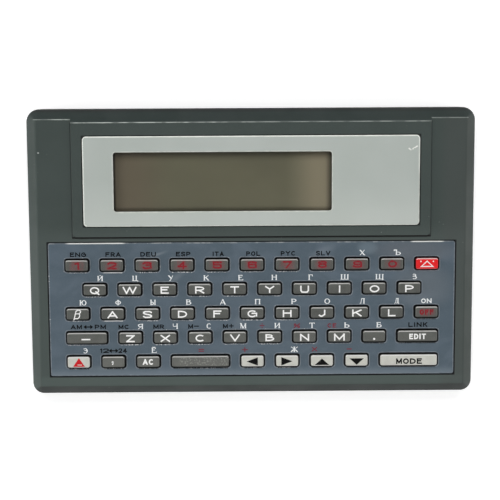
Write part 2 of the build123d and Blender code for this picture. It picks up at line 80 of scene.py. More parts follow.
class Shader:
    """A material whose colour, roughness and bump come from a few noise and mask nodes in object space. Its
    methods take lengths in millimetres and tones as 0 to 255."""

    def __init__(self, name, metallic=0.0, specular=0.5, roughness=0.5):
        self.material = bpy.data.materials.new(name)
        self.material.use_nodes = True
        self.tree = self.material.node_tree
        self.surface = self.tree.nodes["Principled BSDF"]
        self.put(self.surface, {"Metallic": metallic, "Specular IOR Level": specular,
                                "Roughness": roughness})
        coordinates = self.add("ShaderNodeTexCoord")
        self.place = coordinates.outputs["Object"]
        self.x, self.y, self.z = self.axes(self.place)
        self.nx, self.ny, self.up = self.axes(coordinates.outputs["Normal"])
        self.colour = None

    def put(self, node, values):
        """Link a node's inputs to sockets, or set them where the values are plain ones."""
        for key, value in values.items():
            if isinstance(value, bpy.types.NodeSocket):
                self.tree.links.new(value, node.inputs[key])
            elif value is not None:
                node.inputs[key].default_value = value

    def add(self, kind, values={}, **settings):
        """A new node with its inputs and its settings."""
        node = self.tree.nodes.new(kind)
        for key, value in settings.items():
            setattr(node, key, value)
        self.put(node, values)
        return node

    def axes(self, vector):
        split = self.add("ShaderNodeSeparateXYZ", {"Vector": vector})
        return split.outputs["X"], split.outputs["Y"], split.outputs["Z"]

    def noise(self, size, detail=3.0, stretch=(1, 1, 1), offset=(0, 0, 0), distortion=0.0):
        """Noise with grains of a size. The offset, in metres, picks another place in it."""
        moved = self.add("ShaderNodeMapping", {"Vector": self.place, "Scale": stretch, "Location": offset})
        return self.add("ShaderNodeTexNoise", {
            "Vector": moved.outputs["Vector"], "Scale": 1 / (size * MM), "Detail": detail,
            "Distortion": distortion}).outputs["Fac"]

    def band(self, value, low, high, out_low=0.0, out_high=1.0):
        """Smooth step from out_low where the value is low to out_high where it is high."""
        return self.add("ShaderNodeMapRange", {
            "Value": value, "From Min": low, "From Max": high, "To Min": out_low, "To Max": out_high},
            interpolation_type="SMOOTHSTEP").outputs["Result"]

    def along(self, coordinate, start, end, out_low=0.0, out_high=1.0):
        """The same for a coordinate, from start to end in millimetres."""
        return self.band(coordinate, start * MM, end * MM, out_low, out_high)

    def math(self, operation, a, b=None):
        return self.add("ShaderNodeMath", {0: a, 1: b}, operation=operation).outputs[0]

    def chain(self, operation, first, *others):
        for value in others:
            first = self.math(operation, first, value)
        return first

    def times(self, *values):
        return self.chain("MULTIPLY", *values)

    def most(self, *values):
        return self.chain("MAXIMUM", *values)

    def mix(self, share, *tones):
        """From one tone to another. Each is 0 to 255, four linear numbers or what an earlier mix gives."""
        first, second = (srgb(*tone) if isinstance(tone, tuple) and len(tone) == 3 else tone
                         for tone in tones)
        # The node's inputs 6 and 7 and its output 2 are the ones for colours.
        return self.add("ShaderNodeMix", {0: share, 6: first, 7: second}, data_type="RGBA").outputs[2]

    def start(self, value, low, high, first, second):
        """First layer of the colour: from one tone to another where the value goes from low to high."""
        self.colour = self.mix(self.band(value, low, high), first, second)

    def lay(self, mask, tone, share=None):
        """Lay a tone over the colour so far where the mask is 1, opaque or to a share of it."""
        self.colour = self.mix(self.times(mask, share) if share else mask, self.colour, tone)

    def walls(self, tone):
        """Lay a tone over the walls and the underside, as painted shade."""
        self.lay(self.band(self.up, 0.3, 0.1), tone)

    def blob(self, x, y, rx, ry):
        """1 at a point of the top, falling to 0 at rx, ry from it."""
        dx = self.math("DIVIDE", self.math("SUBTRACT", self.x, x * MM), rx * MM)
        dy = self.math("DIVIDE", self.math("SUBTRACT", self.y, y * MM), ry * MM)
        return self.band(self.math("ADD", self.times(dx, dx), self.times(dy, dy)), 1.0, 0.0)

    def mark(self, x, y, degrees, length, width, soft=0.4):
        """1 inside a straight stroke on the top, centred on x, y."""
        angle = math.radians(degrees)
        ax, ay = self.math("SUBTRACT", self.x, x * MM), self.math("SUBTRACT", self.y, y * MM)
        forth = self.math("ADD", self.times(ax, math.cos(angle)), self.times(ay, math.sin(angle)))
        across = self.math("SUBTRACT", self.times(ay, math.cos(angle)), self.times(ax, math.sin(angle)))
        return self.times(*[self.along(self.math("ABSOLUTE", part), size / 2, size / 2 * (1 - soft))
                            for part, size in ((forth, length), (across, width))])

    def inside(self, x0, x1, y0, y1, soft=0.05):
        """1 inside a rectangle of the top."""
        return self.times(self.along(self.x, x0 - soft, x0), self.along(self.x, x1 + soft, x1),
                          self.along(self.y, y0 - soft, y0), self.along(self.y, y1 + soft, y1))

    def finish(self, roughness, height=None, strength=0.0, depth=0.0):
        """Link the colour, a roughness and, where a height is given, a bump of that strength and depth."""
        self.put(self.surface, {"Base Color": self.colour, "Roughness": roughness})
        if height is not None:
            bump = self.add("ShaderNodeBump", {"Height": height, "Strength": strength,
                                               "Distance": depth * MM})
            self.put(self.surface, {"Normal": bump.outputs["Normal"]})
        return self.material


# ---- materials ----
def moulded_case():
    s = Shader("case_plastic", specular=0.35)
    fine = s.noise(0.22, 2)
    s.start(s.noise(14, 3), 0.3, 0.7, (58, 68, 65), (62, 72, 69))
    s.lay(s.band(fine, 0.4, 0.75, 0.0, 0.35), (73, 84, 80))
    # Painted sheen: the part near the user is lighter; the side margin on the right is greyer.
    s.lay(s.along(s.y, 10, 4, 0.0, 0.5), (78, 88, 85))
    s.lay(s.along(s.y, -38.5, -40, 0.0, 0.45), (84, 96, 92))
    s.lay(s.along(s.x, 58, 62), (72, 76, 74), 0.4)
    # Painted light and shade on the bevels: the far and the near one are darker than the top, those at the
    # sides about as light as it.
    slope = s.times(s.band(s.up, 0.97, 0.80), s.band(s.up, -0.05, 0.05))
    s.lay(s.times(slope, s.band(s.ny, 0.3, 0.6)), (11, 31, 28), 0.8)
    s.lay(s.times(slope, s.band(s.ny, -0.3, -0.6)), (34, 37, 36), 0.75)
    side = s.times(s.band(s.math("ABSOLUTE", s.ny), 0.75, 0.4), s.along(s.y, 42.6, 41.6),
                   s.along(s.y, -43.5, -42))
    s.lay(s.times(side, s.along(s.x, 0.5 - BEVEL_X, 0.2 - BEVEL_X)), (70, 81, 77), 0.5)
    s.lay(s.times(side, s.along(s.x, BEVEL_X - 0.5, BEVEL_X - 0.2)), (58, 66, 62), 0.6)
    # Painted shade on the wall below the far bevel.
    s.lay(s.along(s.y, 43.8, 44.9), (16, 20, 19), 0.8)
    # The edge between the top and the far bevel is rubbed light in spots and carries a painted highlight, 1
    # mm nearer on the block than beside it.
    wear_and_glint = s.band(s.noise(2.4, 4, (0.6, 1, 1)), 0.36, 0.6, 0.25, 1.0)
    on_block = s.times(s.along(s.x, BLOCK_X + 0.2, BLOCK_X), s.along(s.x, -BLOCK_X - 0.2, -BLOCK_X))
    beside = s.times(s.math("SUBTRACT", 1.0, on_block), s.along(s.x, BLOCK_X, 50, 0.5, 1.0))
    on_block = s.times(on_block, s.along(s.x, 4, -16, 0.55, 1.0))
    for where, low, high, light in ((beside, BEVEL_Y - 0.19, BEVEL_Y + 0.01, (176, 184, 178)),
                                    (on_block, BLOCK_FAR - 0.23, BLOCK_FAR - 0.04, (196, 203, 197))):
        line = s.times(where, s.inside(-70, 70, low, high, 0.04), s.along(s.z, DECK_TOP - 1, DECK_TOP - 0.5))
        s.lay(s.times(line, wear_and_glint), light)
    # Painted shade: a shadow at the foot of the block, and darkness in the recesses and in the key holes of
    # the deck.
    deck = s.along(s.z, DECK_TOP - 2.1, DECK_TOP - 1.9)
    foot = s.inside(-BLOCK_X - 0.2, BLOCK_X + 0.2, BLOCK_NEAR - 0.26, BLOCK_NEAR + 0.2, 0.1)
    s.lay(s.times(foot, deck), (1, 2, 2), 0.97)
    for x0, x1 in ((-BLOCK_X - 0.3, -BLOCK_X), (BLOCK_X, BLOCK_X + 0.3)):
        low = s.along(s.z, DECK_TOP + 0.4, DECK_TOP + 0.2)
        s.lay(s.times(s.inside(x0, x1, BLOCK_NEAR, BLOCK_FAR, 0.08), low, deck), (18, 22, 20), 0.6)
    x0, x1, y0, y1 = KEY_PLATE[:4]
    recess = s.inside(x0 - 0.3, x1 + 0.3, y0 - 0.3, y1 + 0.3, 0.08)
    low = s.along(s.z, DECK_TOP + 0.2, DECK_TOP + 0.05)
    s.lay(s.times(recess, low, deck), (5, 7, 8), 0.95)
    x0, x1, y0, y1 = DISPLAY_PLATE[:4]
    recess = s.inside(x0 - 0.24, x1 + 0.24, y0 - 0.1, y1 + 0.24, 0.08)
    s.lay(s.times(recess, s.along(s.z, DECK_TOP, DECK_TOP + 0.1)), (8, 10, 10), 0.8)
    # A few light specks of dust, and one nick on the left.
    s.lay(s.band(s.noise(0.8, 1, offset=(0.31, 0.07, 0)), 0.80, 0.84), (150, 156, 152), 0.5)
    s.lay(s.times(s.blob(-66.2, 31.8, 0.35, 0.3), deck), (190, 196, 192))
    return s.finish(s.band(s.noise(9, 3, offset=(0.2, 0, 0)), 0.3, 0.7, 0.5, 0.62), fine, 0.35, 0.03)


def silver_plate():
    s = Shader("silver_plate", metallic=0.1, specular=0.4)
    grain = s.noise(0.16, 2)
    s.start(s.noise(20, 2), 0.3, 0.7, (181, 189, 183), (187, 194, 189))
    s.lay(s.band(grain, 0.3, 0.8, 0.0, 0.3), (201, 207, 202))
    # Painted reflection: lighter towards the near edge.
    s.lay(s.along(s.y, 24, 8, 0, 0.4), (208, 214, 207))
    # Painted shade on the walls.
    s.walls((16, 17, 17))
    # A small tick-shaped scratch near the corner.
    tick = s.most(s.mark(49.3, 32.4, -35, 1.3, 0.55), s.mark(50.9, 32.9, 32, 2.5, 0.55))
    s.lay(s.times(tick, s.band(s.noise(0.5, 2), 0.3, 0.5)), (246, 248, 242))
    return s.finish(s.band(s.noise(6, 3), 0.3, 0.7, 0.36, 0.46), grain, 0.2, 0.01)


def silver_rim():
    """Turned edge of the display plate, with a painted highlight at the far side and on the left, duller
    elsewhere.
    """
    s = Shader("silver_rim", metallic=0.1, specular=0.5)
    x0, x1, _, y1 = DISPLAY_PLATE[:4]
    s.start(s.noise(1.6, 3), 0.35, 0.6, (196, 202, 194), (212, 216, 208))
    # Painted highlight on the far side, the left and the far part of the right side.
    right = s.times(s.along(s.x, x1 - 1.2, x1 - 0.9), s.along(s.y, 22, 32))
    lit = s.most(s.along(s.y, y1 - 1.2, y1 - 0.9), s.along(s.x, x0 + 1.2, x0 + 0.9), right)
    s.lay(s.times(lit, s.band(s.noise(4, 3), 0.3, 0.55, 0.6, 1.0)), (250, 254, 246))
    # Painted shade on the walls.
    s.walls((16, 17, 17))
    return s.finish(s.band(s.noise(3, 2), 0.3, 0.7, 0.3, 0.42))


def painted_plate():
    s = Shader("painted_plate", metallic=0.25, specular=0.45)
    flake = s.noise(0.12, 2)
    smudge = s.noise(16, 4, (1, 1.5, 1), (0.03, 0.01, 0), 1.5)
    s.start(smudge, 0.38, 0.72, (79, 94, 105), (90, 104, 116))
    # Painted light: lighter towards the near edge.
    s.lay(s.along(s.y, -36, -39), (122, 134, 143), 0.6)
    # Wiped streaks, each x, y, direction, length, width and share.
    for x, y, turn, length, width, share in ((-29.5, -0.2, 18, 9, 1.4, 0.35), (-24, -7.8, 40, 10, 3, 0.25),
                                             (22, 0.4, 25, 12, 3.5, 0.22), (-3, -20, 60, 16, 5, 0.2),
                                             (-46, -36.5, 0, 20, 3, 0.2)):
        s.lay(s.mark(x, y, turn, length, width, 1.0), (150, 158, 164), share)
    # Lighter, greyer patches on the right.
    s.lay(s.blob(36.5, 1.5, 4, 2.6), (128, 144, 154), 0.4)
    s.lay(s.blob(51, 0.5, 16, 5), (118, 117, 120), 0.35)
    s.lay(s.blob(54, -11, 12, 9), (122, 127, 131), 0.35)
    s.lay(s.band(flake, 0.4, 0.8, 0.0, 0.3), (116, 130, 142))
    # Painted shade on the walls.
    s.walls((5, 6, 7))
    return s.finish(s.band(smudge, 0.3, 0.7, 0.44, 0.58), flake, 0.2, 0.01)


def painted_rim(name, low, high, under_holes=False):
    """Bare edge of the painted plate, chipped to bright metal where the noise passes low to high."""
    s = Shader(name, metallic=0.25, specular=0.5)
    s.start(s.noise(1.2, 3), 0.3, 0.6, (104, 114, 123), (122, 131, 139))
    patches = s.band(s.noise(9, 1, offset=(0.2, 0.1, 0)), 0.36, 0.55, 0.3, 0.9)
    chips = s.times(s.band(s.noise(0.42, 2), low, high), patches, s.along(s.x, 30, 8, 0.15, 1.0),
                    s.along(s.y, -32, -29, 0.3, 1.0))
    if under_holes:
        # Under two keys the rim is bare all along, towards the near right corner it lies in shade.
        bare = s.most(s.inside(-46.4, -40.2, -7, -5, 0.6), s.inside(-46.4, -40.2, -22, -20, 0.6))
        chips = s.most(chips, s.times(bare, 0.8))
        corner = s.times(s.along(s.x, 20, 44), s.along(s.y, -16, -24))
        s.lay(s.most(s.along(s.y, -33, -35), corner), (36, 42, 46), 0.85)
    s.lay(chips, (240, 242, 242))
    # The long edge next to the display block wears most and carries a painted highlight, near both of
    # its ends above all.
    far_edge = s.along(s.y, KEY_PLATE[3] - 0.7, KEY_PLATE[3] - 0.5)
    s.lay(far_edge, (84, 96, 104), 0.6)
    stretch = s.band(s.noise(3.0, 4, (1, 0.2, 1), (0.4, 0, 0)), 0.5, 0.65, 0.0, 0.25)
    ends = s.most(s.inside(-57, -41, 2, 5, 2), s.inside(51, 59.5, 2, 5, 1.5))
    s.lay(s.times(far_edge, s.most(stretch, ends)), (244, 246, 242), 0.85)
    # Painted shade on the walls.
    s.walls((5, 6, 7))
    return s.finish(s.band(s.noise(2, 2), 0.3, 0.7, 0.38, 0.5))


def key_plastic(name, dark, light, speck, shine=(255, 255, 253), near=None, near_share=0.0, rows=0.0):
    """Grained plastic of the caps. shine: tone of the painted highlight on the far shoulder. near: painted
    tone of the near one, the same as the far one where none is given. rows: how much lighter the rows
    near the user are."""
    s = Shader(name, specular=0.4)
    grain = s.noise(0.16, 2)
    s.start(s.noise(2.4, 3), 0.3, 0.7, dark, light)
    s.lay(s.band(grain, 0.5, 0.72, 0.0, 0.6), speck)
    s.lay(s.along(s.y, -20, -36, 0.0, rows), speck)
    # Painted highlights on the shoulders, but painted shade on the near one of the grey keys, and painted
    # shade at the foot.
    turned = s.times(s.band(s.up, 0.99, 0.9), s.band(s.up, 0.1, 0.3))
    bright = s.mix(0.75, speck, shine)
    s.lay(s.times(turned, s.band(s.ny, 0.1, 0.3)), bright, 0.9)
    s.lay(s.times(turned, s.band(s.math("ABSOLUTE", s.nx), 0.25, 0.5)), speck, 0.5)
    s.lay(s.times(turned, s.band(s.ny, -0.25, -0.5)), near or bright, near_share)
    s.lay(s.along(s.z, DECK_TOP + 0.66, DECK_TOP + 0.4), (6, 6, 6), 0.95)
    if name == "grey_key":
        rubbed_and_smeared(s)
    return s.finish(s.band(s.noise(1.6, 2), 0.3, 0.7, 0.5, 0.63), grain, 0.4, 0.03)


def rubbed_and_smeared(s):
    """What fingers did to the grey keys."""
    # The space bar is rubbed in light specks.
    specks = s.band(s.noise(0.5, 2, offset=(0.05, 0, 0)), 0.53, 0.62)
    bar = s.times(s.inside(-22.5, -7.4, -35.8, -33, 0.8), specks)
    s.lay(s.times(bar, s.band(s.up, 0.98, 0.995)), (180, 181, 174), 0.34)
    # Red print is smeared round every digit, which stand a key pitch apart, and round OFF two rows nearer.
    aside = s.math("PINGPONG", s.math("SUBTRACT", s.x, DIGIT_X * MM), KEY_PITCH / 2 * MM)
    digits = s.times(s.along(aside, 3.1, 0.5), s.inside(-58, 47.5, DIGIT_Y - 1.0, DIGIT_Y + 1.1, 0.8))
    smear = s.most(digits, s.blob(55.1, DIGIT_Y - 2 * ROW_PITCH, 3.3, 1.7))
    streaks = s.band(s.noise(0.9, 3, (1.7, 0.6, 1), (0.02, 0.3, 0)), 0.36, 0.62, 0.1, 0.48)
    s.lay(s.times(smear, streaks), (146, 44, 56))


def print_ink(name, ink, under, wear, size=0.8):
    """Printed legend, rubbed through to what is under it. wear runs from 0, fresh, to 1, nearly gone."""
    s = Shader(name, specular=0.12)
    rub = s.noise(size, 4, offset=(0.11, 0.05, 0))
    s.start(rub, 0.30 + 0.3 * wear, 0.12 + 0.3 * wear, ink, under)
    return s.finish(s.band(rub, 0.3, 0.7, 0.5, 0.65))


def display_glass():
    s = Shader("display_glass", specular=0.5)
    s.start(s.noise(22, 2, (1, 1.6, 1)), 0.3, 0.7, (102, 100, 82), (108, 106, 87))
    s.lay(s.along(s.x, 10, 22, 0, 0.8), (152, 143, 121))
    s.lay(s.along(s.x, -24, -38, 0, 0.5), (112, 98, 84))
    # Painted shadow of the window's edge shades the cell in from the edge, most on the left and the far
    # side.
    x, y, width, depth, _ = WINDOW
    x0, x1, y0, y1 = x - width / 2, x + width / 2, y - depth / 2, y + depth / 2
    for value, start, end, share in ((s.x, x0 + 4.5, x0, 0.24), (s.x, x0 + 0.8, x0 + 0.2, 0.8),
                                     (s.y, y1 - 3.4, y1 - 0.2, 0.52), (s.x, x1 - 2.2, x1, 0.75),
                                     (s.y, y0 + 1.6, y0, 0.36)):
        s.lay(s.along(value, start, end, 0.0, share), (24, 20, 12))
    return s.finish(s.band(s.noise(4, 2), 0.3, 0.7, 0.35, 0.45))


def clear_pane():
    """Clear plastic with a gloss that grows at a slant."""
    material = bpy.data.materials.new("clear_pane")
    material.use_nodes = True
    tree = material.node_tree
    tree.nodes.clear()
    output, mix, clear, gloss, weight = (tree.nodes.new("ShaderNode" + kind) for kind in (
        "OutputMaterial", "MixShader", "BsdfTransparent", "BsdfGlossy", "LayerWeight"))
    clear.inputs["Color"].default_value = (0.97, 0.97, 0.96, 1)
    gloss.inputs["Roughness"].default_value = 0.06
    weight.inputs["Blend"].default_value = 0.08
    for source, target in ((weight.outputs["Facing"], mix.inputs[0]), (clear.outputs[0], mix.inputs[1]),
                           (gloss.outputs[0], mix.inputs[2]), (mix.outputs[0], output.inputs[0])):
        tree.links.new(source, target)
    return material


def silicone():
    s = Shader("silicone", specular=0.3)
    dust = s.noise(0.5, 3)
    s.start(dust, 0.4, 0.8, (30, 31, 32), (44, 45, 45))
    return s.finish(s.band(dust, 0.3, 0.7, 0.55, 0.7), dust, 0.2, 0.02)


def board_green():
    s = Shader("board", specular=0.4)
    cloud = s.noise(6, 3)
    tracks = s.noise(1.4, 0, (1, 6, 1))
    s.start(cloud, 0.3, 0.7, (28, 74, 48), (36, 88, 58))
    s.lay(s.band(tracks, 0.55, 0.6, 0.0, 0.5), (62, 112, 78))
    return s.finish(s.band(cloud, 0.3, 0.7, 0.3, 0.45), tracks, 0.2, 0.02)


def steel(name, size, dull, light):
    s = Shader(name, metallic=0.9, specular=0.5)
    scratch = s.noise(size, 4, (1, 8, 1))
    s.start(scratch, 0.3, 0.75, dull, light)
    return s.finish(s.band(scratch, 0.3, 0.7, 0.22, 0.4), scratch, 0.15, 0.01)


CASE = moulded_case()
SILVER = silver_plate()
SILVER_RIM = silver_rim()
PAINTED = painted_plate()
PAINTED_RIM = painted_rim("painted_rim", 0.66, 0.72)
CHIPPED_SHADED_RIM = painted_rim("chipped_shaded_rim", 0.5, 0.6, under_holes=True)
GREY = key_plastic("grey_key", (78, 80, 76), (87, 89, 85), (118, 119, 114), shine=(236, 236, 232),
                   near=(40, 38, 36), near_share=0.4, rows=0.5)
IVORY = key_plastic("ivory_key", (198, 198, 189), (208, 208, 199), (222, 222, 214), near_share=0.7)
RED = key_plastic("red_key", (226, 2, 12), (238, 5, 16), (248, 44, 50), near_share=0.15)
GLASS = display_glass()
PANE = clear_pane()
SILICONE = silicone()
BOARD = board_green()
CELL = steel("cell_steel", 0.3, (154, 156, 158), (176, 178, 180))
SCREW = steel("screw_steel", 0.2, (96, 98, 100), (118, 120, 122))

# Each ink with its tone, the tone under it, its wear and, where it differs, the size of the rubbed spots.
ON_PAINT, ON_IVORY = (96, 105, 117), (214, 214, 205)
INK = {row[0]: print_ink(*row) for row in (
    ("print_black", (6, 7, 9), ON_PAINT, 0.06),
    ("print_white", (240, 243, 243), ON_PAINT, 0.08),
    ("print_red", (127, 52, 64), ON_PAINT, 0.25),
    ("cap_white", (250, 250, 248), (108, 106, 99), 0.03),
    ("cap_red", (146, 32, 44), (112, 66, 66), 0.75, 0.4),
    ("cap_black", (9, 9, 9), ON_IVORY, 0.05),
    ("cap_signal", (208, 34, 40), ON_IVORY, 0.05),
    ("cap_bright", (246, 240, 238), (240, 42, 48), 0.05))}


# ---- mesh helpers ----
def new_object(name, vertices, faces, materials, face_material=None, sharp=None):
    """A scene object. Where sharp is given, its faces are smooth but for edges of more degrees than that."""
    mesh = bpy.data.meshes.new(name)
    mesh.from_pydata(vertices, [], faces)
    for m in materials:
        mesh.materials.append(m)
    if face_material:
        mesh.polygons.foreach_set("material_index", face_material)
    mesh.validate()
    if sharp is not None:
        mesh.polygons.foreach_set("use_smooth", [True] * len(mesh.polygons))
        mesh.set_sharp_from_angle(angle=math.radians(sharp))
    mesh.update()
    thing = bpy.data.objects.new(name, mesh)
    bpy.context.scene.collection.objects.link(thing)
    return thing


def ring(x, y, width, depth, radius, z, steps):
    """Counter-clockwise rounded rectangle as points in metres from millimetres."""
    points = []
    radius = max(radius, 0.01)
    for turn, (sx, sy) in enumerate([(1, 1), (-1, 1), (-1, -1), (1, -1)]):
        cx, cy = x + sx * (width / 2 - radius), y + sy * (depth / 2 - radius)
        for step in range(steps + 1):
            angle = math.pi / 2 * (turn + step / steps)
            px, py = cx + radius * math.cos(angle), cy + radius * math.sin(angle)
            points.append((px * MM, py * MM, z * MM))
    return points


def stack(rings):
    """Closed skin through rings of equal length, capped at both ends."""
    vertices = [p for r in rings for p in r]
    n = len(rings[0])
    faces = [list(range(n))[::-1]]
    for level in range(len(rings) - 1):
        a, b = level * n, (level + 1) * n
        faces += [[a + i, a + (i + 1) % n, b + (i + 1) % n, b + i] for i in range(n)]
    faces.append(list(range((len(rings) - 1) * n, len(rings) * n)))
    return vertices, faces


def plate(name, outer, holes, z_low, z_top, edge, materials, steps=4, rim=0.16):
    """Flat plate from z_low to z_top with its upper edges rounded round its outline and its holes.
    outer and holes are (x, y, width, depth, radius) in millimetres. The second of the materials is for the
    rims, the third, if there is one, for the rim at the near side of each hole."""
    levels = []
    for i in range(4):
        angle = math.pi / 2 * i / 3
        levels.append((edge * (1 - math.cos(angle)), z_top - edge * (1 - math.sin(angle))))
    levels.append((edge + rim, z_top))
    vertices, faces, index, tops, bottoms = [], [], [], [], []
    for hole, (x, y, w, d, r) in [(False, outer)] + [(True, h) for h in holes]:
        rings = [ring(x, y, w, d, r, z_low, steps)]
        for inset, z in levels:
            inset = -inset if hole else inset
            rings.append(ring(x, y, w - 2 * inset, d - 2 * inset, max(r - inset, 0.05), z, steps))
        n, start = len(rings[0]), len(vertices)
        vertices += [p for r_ in rings for p in r_]
        for level in range(len(rings) - 1):
            a, b = start + level * n, start + (level + 1) * n
            for i in range(n):
                j = (i + 1) % n
                faces.append([a + j, a + i, b + i, b + j] if hole else [a + i, a + j, b + j, b + i])
                near_side = hole and i == 3 * (steps + 1) - 1
                index.append(0 if level == 0 else len(materials) - 1 if near_side else 1)
        bottoms.append(list(range(start, start + n)))
        tops.append(list(range(start + (len(rings) - 1) * n, start + len(rings) * n)))
    for loops, up in ((tops, True), (bottoms, False)):
        flat = [i for loop in loops for i in loop]
        for tri in tessellate_polygon([[Vector(vertices[i]) for i in loop] for loop in loops]):
            a, b, c = (flat[i] for i in tri)
            pa, pb, pc = (Vector(vertices[i]) for i in (a, b, c))
            if ((pb - pa).cross(pc - pa).z > 0) != up:
                b, c = c, b
            faces.append([a, b, c])
            index.append(0)
    return new_object(name, vertices, faces, materials, index, sharp=50)


def raised(flat, faces, z):
    """Flat faces as a thin solid about height z, with top, underside and rim. Points are in millimetres."""
    n, thick = len(flat), 0.01
    vertices = [(px * MM, py * MM, (z + thick) * MM) for px, py in flat]
    vertices += [(px * MM, py * MM, (z - thick) * MM) for px, py in flat]
    solid, edges = [], {}
    for face in faces:
        area = sum(flat[face[i - 1]][0] * flat[face[i]][1] - flat[face[i]][0] * flat[face[i - 1]][1]
                   for i in range(len(face)))
        face = face if area > 0 else face[::-1]
        solid.append(face)
        solid.append([i + n for i in face[::-1]])
        for i in range(len(face)):
            edges[(face[i - 1], face[i])] = True
    for a, b in edges:
        if (b, a) not in edges:
            solid.append([b, a, a + n, b + n])
    return vertices, solid


def joined(*bits):
    """Several (vertices, faces) as one."""
    vertices, faces = [], []
    for v, f in bits:
        faces += [[i + len(vertices) for i in face] for face in f]
        vertices += v
    return vertices, faces


def patch(points, z):
    """One flat face as a thin solid about height z."""
    return raised(points, [list(range(len(points)))], z)


def dot(x, y, radius, corners):
    turns = [2 * math.pi * i / corners for i in range(corners)]
    return [(x + radius * math.cos(turn), y + radius * math.sin(turn)) for turn in turns]


def triangle(x, y, width, height, way):
    """A triangle in a box, pointing up, down, left or right."""
    out = []
    for px, py in ((-0.5, -0.5), (0.5, -0.5), (0.0, 0.5)):
        px, py = {"up": (px, py), "down": (px, -py), "left": (-py, px), "right": (py, px)}[way]
        out.append((x + px * width, y + py * height))
    return out


# ---- letters ----
# Letters are pen strokes on a grid. Each point is a column and a row. The foot line is row 1, the head line
# row 8. B is a broad stroke with serifs, b one without, h a fine one, p a dot. The others are bows in the
# box between two points: o a full oval, d its right half and q its left half, each as wide as the box, c an
# oval open on the right and e one open on the left.
BOOK = {
    "Х": "B18-61 h11-68", "Ъ": "b18-48 h18-17 B48-41 d41-95", "Й": "B18-11 B68-61 h11-68 h39-49",
    "Ц": "B18-11 B58-51 h11-71-70", "У": "B18-44 h68-31-21", "К": "B18-11 h14-68 B35-61",
    "Е": "B18-11 h18-58-57 h15-45 h11-61-62", "Н": "B18-11 B68-61 h15-65", "Г": "B18-11 h18-58-56",
    "Ш": "B18-11 B58-51 B98-91 h11-91", "Щ": "B18-11 B58-51 B98-91 h11-91 b91-90", "З": "e15-58 e11-65",
    "Ю": "B18-11 h15-35 o31-88", "Ф": "B48-41 o12-77", "Ы": "B18-11 d11-45 B68-61",
    "В": "B18-11 d15-58 d11-65", "А": "h11-48 B48-71 h23-63", "П": "B18-11 B68-61 h18-68",
    "Р": "B18-11 d14-68", "О": "o11-78", "Л": "h21-38 B68-61 h38-68 h21-11",
    "Д": "h21-38 B58-51 h38-58 h10-11-61-60", "Б": "B18-11 h18-58-57 d11-65", "Я": "B68-61 q14-68 h44-11",
    "Ч": "B68-61 h18-15-24-65", "С": "c11-68", "М": "B78-71 h18-11 B18-41 h41-78",
    "И": "B18-11 B68-61 h11-68", "Т": "B48-41 h17-18-78-77", "Ь": "B18-11 d11-65", "Э": "e11-68 h35-65",
    "Ё": "B18-11 h18-58-57 h15-45 h11-61-62 p29 p49", "Ж": "B58-51 h18-55-98 b55-11 b55-91"}
PLAIN = {
    "A": "h11-48-71 h23-63", "B": "h18-11 d15-58 d11-65", "C": "c11-78", "D": "h18-11 d11-78",
    "E": "h68-18-11-61 h15-55", "F": "h68-18-11 h15-55", "G": "c11-78 h45-75-72",
    "H": "h18-11 h78-71 h15-75", "I": "h18-11", "J": "h58-53-42-31-21-12", "K": "h18-11 h68-14 h35-61",
    "L": "h18-11-61", "M": "h11-18-42-78-71", "N": "h11-18-71-78", "O": "o11-78", "P": "h11-18 d14-68",
    "Q": "o11-78 h53-70", "R": "h11-18 d14-68 h34-61", "S": "h67-58-28-17-16-25-54-63-62-51-21-12",
    "T": "h18-78 h48-41", "U": "h18-13-21-61-73-78", "V": "h18-41-78", "W": "h18-31-58-71-98",
    "X": "h18-71 h11-78", "Y": "h18-45-78 h45-41", "Z": "h18-78-11-71", "0": "o11-68", "1": "h37-48-41",
    "2": "h17-28-58-67-65-11-61", "3": "h17-28-58-67-66-55-35 h55-64-62-51-21-12", "4": "h51-58-13-73",
    "5": "h68-18-15-55-64-62-51-21-12", "6": "h67-58-28-17-12-21-51-62-64-55-25-14", "7": "h18-68-31",
    "8": "o15-68 o11-65", "9": "o14-68 h66-62-51-21-12", "+": "h15-75 h48-42", "-": "h15-75",
    "=": "h16-76 h13-73", "*": "h12-78 h18-72", "/": "h15-75 p48 p42", "%": "h11-78 o15-38 o51-74",
    "s": "h10-17-28-48-57-56-45-25 h45-54-52-41-21"}
GRID_HEIGHT, GRID_MIDDLE, PROPORTION = 7, 4.5, 1.15


def runs(points, reach):
    """A stroke cut at its sharp corners, each piece lengthened by reach at both ends."""
    pieces, piece = [], [points[0]]
    for i, (px, py) in enumerate(points[1:], 1):
        piece.append((px, py))
        if i + 1 < len(points):
            (ax, ay), (bx, by) = points[i - 1], points[i + 1]
            lengths = math.hypot(px - ax, py - ay), math.hypot(bx - px, by - py)
            turn = ((px - ax) * (bx - px) + (py - ay) * (by - py)) / lengths[0] / lengths[1]
            if turn < 0.5:
                pieces.append(piece)
                piece = [(px, py)]
    for piece in pieces + [piece]:
        for end, inner in ((0, 1), (-1, -2)):
            (px, py), (ix, iy) = piece[end], piece[inner]
            size = math.hypot(px - ix, py - iy)
            piece[end] = (px + (px - ix) / size * reach, py + (py - iy) / size * reach)
        yield piece


def strip(points, width):
    """A gently bent stroke of even width as (flat points, faces), mitred at its corners."""
    flat = []
    for i, (px, py) in enumerate(points):
        normals = []
        for (ax, ay), (bx, by) in zip(points[max(i - 1, 0):i + 1], points[max(i, 1):i + 2]):
            size = math.hypot(bx - ax, by - ay)
            normals.append(((ay - by) / size, (bx - ax) / size))
        nx, ny = sum(n[0] for n in normals) / len(normals), sum(n[1] for n in normals) / len(normals)
        reach = width / 2 / max(nx * nx + ny * ny, 0.3)
        flat += [(px + nx * reach, py + ny * reach), (px - nx * reach, py - ny * reach)]
    return flat, [[2 * i, 2 * i + 1, 2 * i + 3, 2 * i + 2] for i in range(len(points) - 1)]


